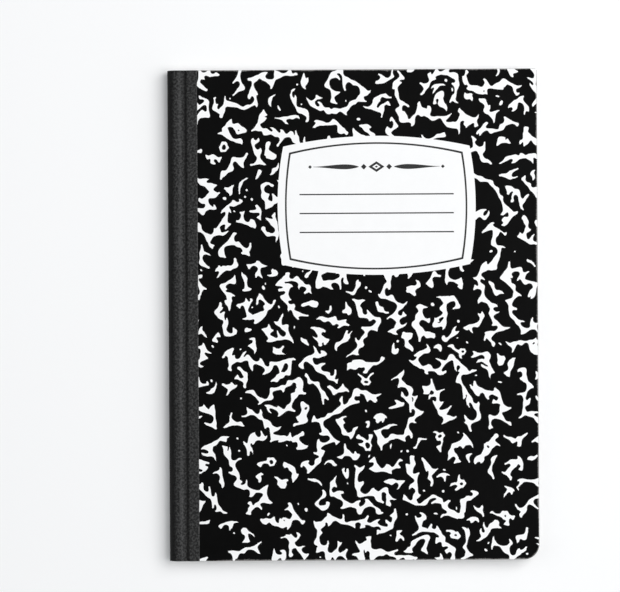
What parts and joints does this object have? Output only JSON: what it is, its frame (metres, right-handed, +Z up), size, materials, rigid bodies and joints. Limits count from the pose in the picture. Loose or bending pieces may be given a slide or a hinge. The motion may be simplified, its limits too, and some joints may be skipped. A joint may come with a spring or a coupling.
{
  "type": "composition notebook",
  "caption": "Bound notebook with a page block, rounded cloth-taped spine and two marbled cover boards that open; the front one has a blank name label.",
  "frame": {"origin": "on the surface that the book lies on, under the middle of its outline", "axes": "+X from the spine to the fore-edge, +Y from the foot to the head, +Z up from the back cover to the front cover"},
  "size_m": [0.1866, 0.2476, 0.0112],
  "materials": {
    "page_paper": "uncoated white writing paper, trimmed edges",
    "thread": "white cotton sewing thread",
    "spine_cloth": "black book cloth with a fine emboss",
    "cover_board": "black printed paper on grey board, satin",
    "lining_paper": "plain white paper",
    "marbling_white": "unprinted white of the cover paper, satin",
    "label_white": "unprinted white of the cover paper, satin",
    "label_ink": "printed dark grey line"
  },
  "bodies": {
    "book_block": {"page_block": "page_paper", "sewing_thread": "thread", "spine_tape": "spine_cloth"},
    "front_cover": {"front_cover_board": "cover_board", "front_lining_paper": "lining_paper", "front_tape": "spine_cloth", "front_marbling": "marbling_white", "label_panel": "label_white", "label_frame": "label_ink", "label_rules": "label_ink", "label_ornament": "label_ink"},
    "back_cover": {"back_cover_board": "cover_board", "back_lining_paper": "lining_paper", "back_tape": "spine_cloth", "back_marbling": "marbling_white"}
  },
  "joints": [
    {"name": "front_cover_hinge", "type": "hinge", "parent": "book_block", "child": "front_cover", "pos_m": [-0.0842, 0, 0.01135], "axis": [0, -1, 0], "range_deg": [0, 180]},
    {"name": "back_cover_hinge", "type": "hinge", "parent": "book_block", "child": "back_cover", "pos_m": [-0.0842, 0, -0.00015], "axis": [0, 1, 0], "range_deg": [0, 180]}
  ]
}
